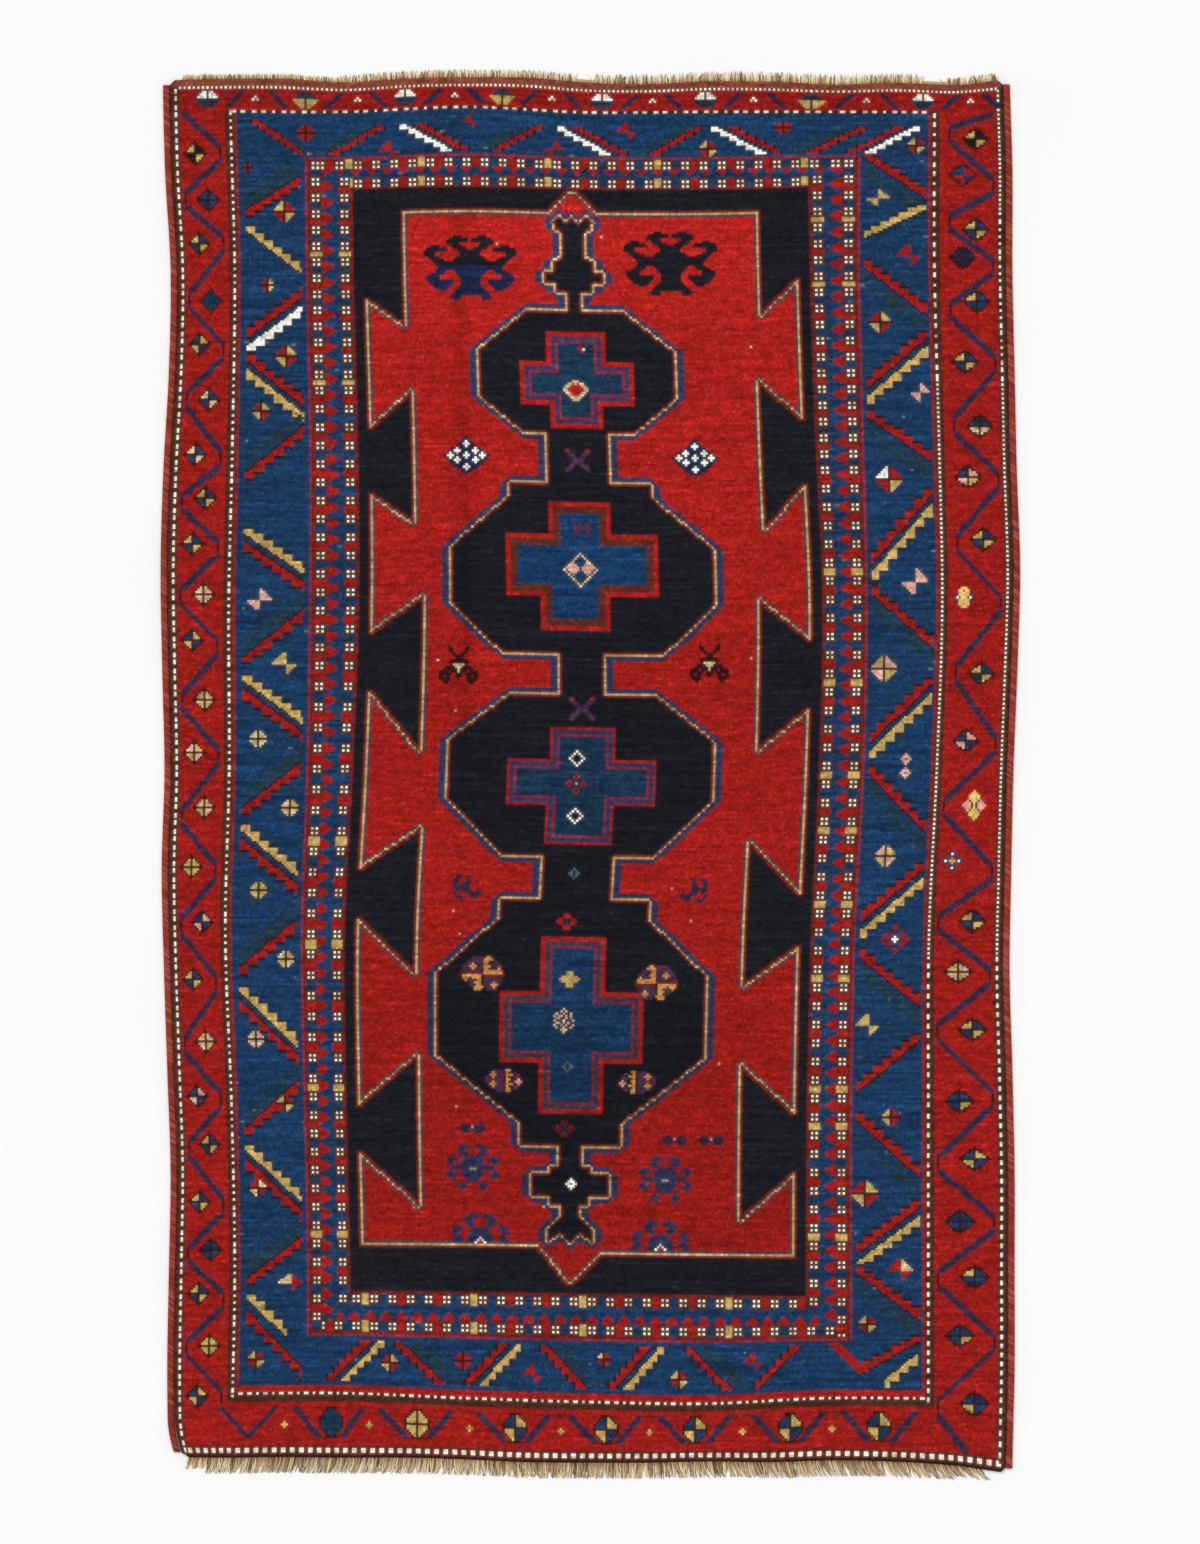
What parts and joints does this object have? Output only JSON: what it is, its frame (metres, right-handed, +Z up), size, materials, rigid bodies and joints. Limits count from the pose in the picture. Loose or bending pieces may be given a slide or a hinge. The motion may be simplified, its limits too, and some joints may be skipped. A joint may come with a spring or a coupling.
{
  "type": "hand-knotted kazak wool rug",
  "caption": "Flat hand-knotted wool pile rug with overcast side cords and a short warp fringe at each end, laid on a floor as a covering.",
  "frame": {"origin": "on the floor, under the middle of the rug's box", "axes": "+X across the rug, +Y along it towards the end with the short fringe, +Z up out of the pile"},
  "size_m": [1.549, 2.5454, 0.007],
  "materials": {
    "pile_wool": "matt wool pile, red, navy and blue with ivory, gold and brown details",
    "side_wool": "wrapped red-brown wool",
    "warp_yarn": "undyed twisted yarn, ivory and tan"
  },
  "bodies": {
    "root": {"pile": "pile_wool", "side_cord_left": "side_wool", "side_cord_right": "side_wool", "fringe_top": "warp_yarn", "fringe_bottom": "warp_yarn"}
  },
  "joints": []
}
